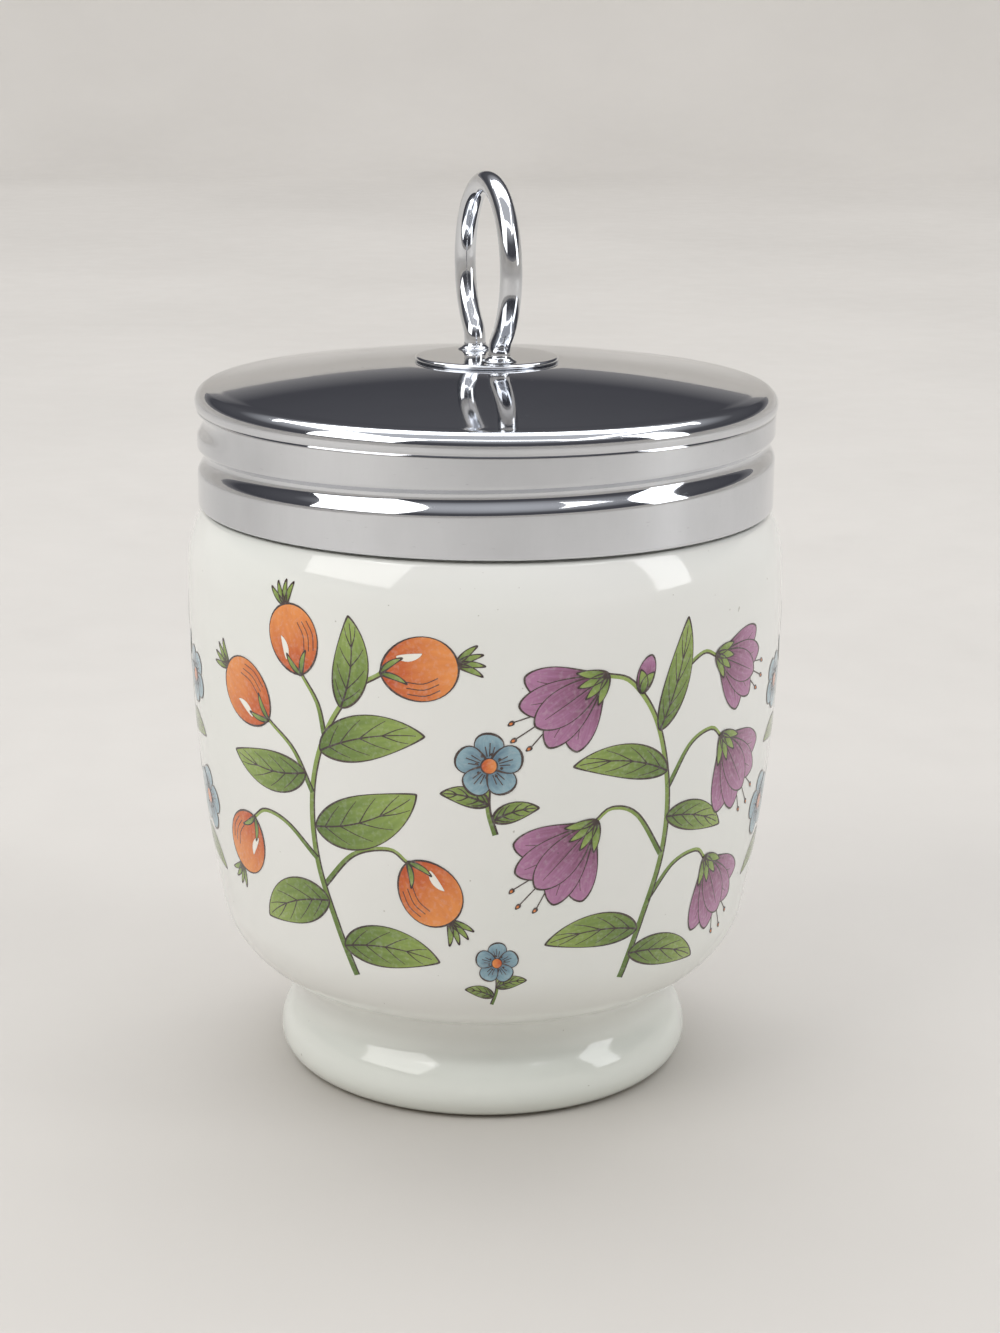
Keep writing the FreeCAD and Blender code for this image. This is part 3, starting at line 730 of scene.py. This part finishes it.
def noise(add, place, scale, detail=3.0, roughness=0.5):
    """Fractal noise of about 0 to 1 at a scale per metre of the coordinates."""
    values = {"Vector": place, "Scale": scale, "Detail": detail, "Roughness": roughness}
    return add("ShaderNodeTexNoise", values).outputs["Fac"]


def stretched(add, place, x, y, z):
    """Object coordinates scaled by three factors, to draw a pattern out along a direction."""
    return add("ShaderNodeMapping", {"Vector": place, "Scale": (x, y, z)}).outputs[0]


GLASSY = {"IOR": 1.52, "Coat Weight": 0.35, "Coat Roughness": 0.03}


def porcelain_finish():
    """White glaze, faintly green where it pools, darker and greener below the bowl as painted shade, over a
    body that is bare and rough under the foot.
    """
    finish, shader, add, feed = new_finish("white_glaze")
    place = add("ShaderNodeTexCoord").outputs["Object"]
    height = add("ShaderNodeSeparateXYZ", {0: place}).outputs["Z"]
    pool = ranged(add, noise(add, place, 28, 4), 0.35, 0.7, 0, 1)
    glaze = blend_colours(add, pool, rgb(240, 240, 236), rgb(235, 237, 231))
    # painted shade: the glaze darkens to grey-green from 11.5 mm down to 6 mm and stays so below, on the waist
    # and foot under the bowl
    waist_shade = ranged(add, height, 6.0 * MM, 11.5 * MM, 0.55, 0)
    glaze = blend_colours(add, waist_shade, glaze, rgb(224, 229, 220))
    specks = ranged(add, noise(add, place, 1400, 1), 0.80, 0.83, 0, 0.5)
    glaze = blend_colours(add, specks, glaze, rgb(150, 145, 130))
    bare = ranged(add, height, 0.15 * MM, 0.45 * MM, 1, 0)
    grit = blend_colours(add, noise(add, place, 2500, 2), rgb(226, 219, 204), rgb(196, 187, 170))
    feed("Base Color", blend_colours(add, bare, glaze, grit))
    wear = ranged(add, noise(add, place, 180, 4), 0.4, 0.75, 0.07, 0.13)
    feed("Roughness", add("ShaderNodeMix", {0: bare, 2: wear, 3: 0.62}).outputs[0])
    ripple = add("ShaderNodeBump", {"Height": noise(add, place, 260, 2), "Strength": 0.10, "Distance": 0.0001})
    grain = add("ShaderNodeBump", {"Height": noise(add, place, 2600, 2), "Strength": 0.04, "Distance": 0.00004,
                                   "Normal": ripple.outputs[0]})
    feed("Normal", grain.outputs[0])
    for socket, value in GLASSY.items():
        shader.inputs[socket].default_value = value
    return finish


def print_finish(name, foot, tip, streaks):
    """Glazed-over ink: one shade runs into another from a petal's foot to its tip, in fine brushed streaks.

    Share of the second shade = along + 0.9 (streak noise - 0.5), held between 0 and 1.
    """
    finish, shader, add, feed = new_finish(name)
    place = add("ShaderNodeTexCoord").outputs["Object"]
    drawn = add("ShaderNodeUVMap", uv_map="UVMap").outputs[0]
    along = add("ShaderNodeSeparateXYZ", {0: drawn}).outputs["X"]
    brushed = noise(add, stretched(add, drawn, 2.5, streaks, 1), 1.0, 3)
    share = add("ShaderNodeMath", {0: brushed, 1: 0.9, 2: along}, operation="MULTIPLY_ADD").outputs[0]
    colour = blend_colours(add, ranged(add, share, 0.45, 1.35, 0, 1), rgb(*foot), rgb(*tip))
    thin = ranged(add, noise(add, place, 2200, 2), 0.5, 0.75, 0, 0.12)
    feed("Base Color", blend_colours(add, thin, colour, rgb(238, 238, 234)))
    feed("Roughness", ranged(add, noise(add, place, 180, 4), 0.4, 0.75, 0.09, 0.15))
    ripple = add("ShaderNodeBump", {"Height": noise(add, place, 260, 2), "Strength": 0.10, "Distance": 0.0001})
    feed("Normal", ripple.outputs[0])
    for socket, value in GLASSY.items():
        shader.inputs[socket].default_value = value
    return finish


def chrome_finish(name, tint, scratch_turns, dull=0.0):
    """Bright plating with fine scratches that run round the axis, wiped smears and a few deeper nicks."""
    finish, shader, add, feed = new_finish(name)
    place = add("ShaderNodeTexCoord").outputs["Object"]
    smear = ranged(add, noise(add, place, 55, 5, 0.6), 0.42, 0.75, 0, 1)
    nicks = ranged(add, noise(add, stretched(add, place, 1, 1, 9), 900, 2), 0.72, 0.78, 0, 1)
    cloud = blend_colours(add, smear, rgb(*tint), rgb(*(0.95 * np.array(tint))))
    feed("Base Color", blend_colours(add, ranged(add, nicks, 0, 1, 0, 0.3), cloud, rgb(120, 120, 124)))
    rough = add("ShaderNodeMath", {0: ranged(add, smear, 0, 1, 0.035 + dull, 0.10 + dull),
                                   1: ranged(add, nicks, 0, 1, 0, 0.2)}, operation="ADD")
    feed("Roughness", rough.outputs[0])
    lines = noise(add, stretched(add, place, 1, 1, scratch_turns), 160, 3)
    fine = add("ShaderNodeBump", {"Height": lines, "Strength": 0.05 + dull, "Distance": 0.00003})
    wave = add("ShaderNodeBump", {"Height": noise(add, place, 42, 2), "Strength": 0.05, "Distance": 0.0004,
                                  "Normal": fine.outputs[0]})
    feed("Normal", wave.outputs[0])
    shader.inputs["Metallic"].default_value = 1.0
    return finish


def seal_finish():
    """Pale sealing rubber: matt, slightly mottled, with a fine moulded grain."""
    finish, _, add, feed = new_finish("pale_rubber")
    place = add("ShaderNodeTexCoord").outputs["Object"]
    mottle = noise(add, place, 140, 4)
    share = ranged(add, mottle, 0.35, 0.7, 0, 1)
    feed("Base Color", blend_colours(add, share, rgb(214, 206, 188), rgb(196, 187, 168)))
    feed("Roughness", ranged(add, mottle, 0.3, 0.7, 0.5, 0.68))
    grain = add("ShaderNodeBump", {"Height": noise(add, place, 3000, 2), "Strength": 0.25, "Distance": 0.00008})
    feed("Normal", grain.outputs[0])
    return finish


# making the pieces
white_glaze = porcelain_finish()
bright_chrome = chrome_finish("bright_chrome", (214, 216, 220), 14)
ring_chrome = chrome_finish("ring_chrome", (216, 218, 222), 1)
dull_plate = chrome_finish("dull_plate", (188, 190, 192), 2, dull=0.18)
pale_rubber = seal_finish()

DRESSING = [
    (make_cup, "porcelain_cup", "cup", "porcelain", white_glaze),
    (make_seal, "sealing_ring", "seal", "seal", pale_rubber),
    (make_inner_disc, "inner_disc", "disc", "plated_steel", dull_plate),
    (make_lid, "lid_shell", "lid", "chrome", bright_chrome),
    (make_washer, "backing_washer", "lid", "plated_steel", dull_plate),
    (make_plate, "ring_plate", "lid", "chrome", bright_chrome),
    (make_finger_ring, "finger_ring", "lid", "chrome", ring_chrome),
    (make_collars, "ring_collars", "lid", "chrome", ring_chrome),
]
for make, node, body, slot, finish in DRESSING:
    piece = make()
    piece.data.materials.clear()
    piece.data.materials.append(finish)
    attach(piece, body)
    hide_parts(node)

INKS = {
    "leaves": ((88, 116, 44), (150, 172, 86), 9),
    "fruit": ((196, 78, 26), (238, 148, 74), 7),
    "bells": ((98, 36, 70), (178, 122, 160), 12),
    "blossoms": ((58, 96, 122), (146, 178, 190), 10),
    "pale": ((246, 240, 226), (250, 248, 240), 5),
    "ink": ((58, 44, 42), (74, 58, 52), 3),
}
for colour, piece in lay_print():
    piece.data.materials.append(print_finish("print_" + colour, *INKS[colour]))
    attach(piece, "cup")

rivets = make_rivet_heads()
rivets.data.materials.clear()
rivets.data.materials.append(dull_plate)
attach(rivets, "lid")


# floor, light and camera
FLOOR_DROP = -0.02
SWEEP_START = 1300.0
SWEEP_ROUND = 300.0
SWEEP_TOP = 420.0


def make_floor():
    """A wide pale sheet under the object, faintly mottled, that bends up into a low round wall far off."""
    bend = np.linspace(0, math.pi / 2, 24)
    wall = SWEEP_START + SWEEP_ROUND
    radius = np.concatenate([[0.0, 300.0], SWEEP_START + SWEEP_ROUND * np.sin(bend), [wall]])
    height = np.concatenate([[0.0, 0.0], SWEEP_ROUND * (1 - np.cos(bend)), [SWEEP_TOP]]) + FLOOR_DROP
    floor = close_up(turned("floor", radius, height, 128))
    finish, _, add, feed = new_finish("pale_floor")
    place = add("ShaderNodeTexCoord").outputs["Object"]
    cloud = ranged(add, noise(add, place, 6, 5), 0.3, 0.7, 0, 1)
    feed("Base Color", blend_colours(add, cloud, rgb(203, 199, 193), rgb(196, 192, 186)))
    feed("Roughness", ranged(add, noise(add, place, 90, 3), 0.3, 0.7, 0.55, 0.7))
    floor.data.materials.append(finish)


def soft_box(name, place, aim, size, power, tint=(1.0, 1.0, 1.0)):
    """A rectangular lamp that faces a point. Place, aim and size are in millimetres."""
    lamp = bpy.data.lights.new(name, "AREA")
    lamp.shape = "RECTANGLE"
    lamp.size, lamp.size_y = size[0] * MM, size[1] * MM
    lamp.energy = power
    lamp.color = tint
    holder = bpy.data.objects.new(name, lamp)
    bpy.context.scene.collection.objects.link(holder)
    start = Vector(place) * MM
    holder.location = start
    holder.rotation_euler = (Vector(aim) * MM - start).to_track_quat("-Z", "Y").to_euler()


# height on the sky (sine of the elevation) and light there: a pale wall, a dim gap and a soft white ceiling
SKY = [
    (0.0, (0.52, 0.51, 0.50, 1)),
    (0.14, (0.40, 0.39, 0.39, 1)),
    (0.30, (0.07, 0.07, 0.08, 1)),
    (0.52, (0.10, 0.10, 0.11, 1)),
    (0.80, (0.62, 0.63, 0.66, 1)),
]


def make_world():
    """Soft surroundings that change only with height."""
    world = bpy.data.worlds.new("studio")
    bpy.context.scene.world = world
    world.use_nodes = True
    tree = world.node_tree
    new, link = tree.nodes.new, tree.links.new
    way = new("ShaderNodeTexCoord")
    split = new("ShaderNodeSeparateXYZ")
    link(way.outputs["Generated"], split.inputs[0])
    ramp = new("ShaderNodeValToRGB")
    link(split.outputs["Z"], ramp.inputs[0])
    steps = ramp.color_ramp.elements
    steps[0].position, steps[0].color = SKY[0]
    steps[1].position, steps[1].color = SKY[-1]
    for place, colour in SKY[1:-1]:
        steps.new(place).color = colour
    link(ramp.outputs[0], tree.nodes["Background"].inputs[0])


def make_camera():
    """The photograph's view, solved from the ellipses of the foot and the lid: place, pitch, pan and roll."""
    distance, height, focal, frame_height = 292.7, 125.7, 2600.0, 1333.0
    pitch, pan, roll = math.radians(15.12), 0.0060, 0.0079
    ahead = Vector((math.sin(pan), math.cos(pan), 0))
    right = Vector((math.cos(pan), -math.sin(pan), 0))
    upright = Vector((0, 0, 1))
    look = ahead * math.cos(pitch) - upright * math.sin(pitch)
    above = upright * math.cos(pitch) + ahead * math.sin(pitch)
    side = right * math.cos(roll) + above * math.sin(roll)
    above = above * math.cos(roll) - right * math.sin(roll)
    lens = bpy.data.cameras.new("camera")
    lens.sensor_width = 36.0
    lens.lens = focal / frame_height * 36.0
    lens.clip_start = 0.01
    camera = bpy.data.objects.new("camera", lens)
    bpy.context.scene.collection.objects.link(camera)
    turn = Matrix((side, above, -look)).transposed().to_4x4()
    camera.matrix_world = Matrix.Translation(Vector((0, -distance, height)) * MM) @ turn
    bpy.context.scene.camera = camera


make_floor()
make_world()
soft_box("window_left", (-460, -330, 470), (0, 0, 50), (460, 420), 1.75, (1.0, 0.99, 0.97))
soft_box("window_right", (520, -150, 330), (0, 0, 50), (180, 420), 0.8, (0.97, 0.985, 1.0))
soft_box("ceiling_panel", (0, 240, 700), (0, 120, 0), (700, 420), 1.75, (0.96, 0.975, 1.0))
for side, power in ((0, 10.5), (90, 7.0), (180, 7.0), (270, 7.0)):
    away = np.array([math.sin(math.radians(side)), math.cos(math.radians(side))])
    soft_box(f"wall_wash_{side}", (*(750 * away), 1150), (*(1500 * away), 120), (1800, 500), power)
make_camera()
bpy.context.scene.view_settings.view_transform = "Standard"
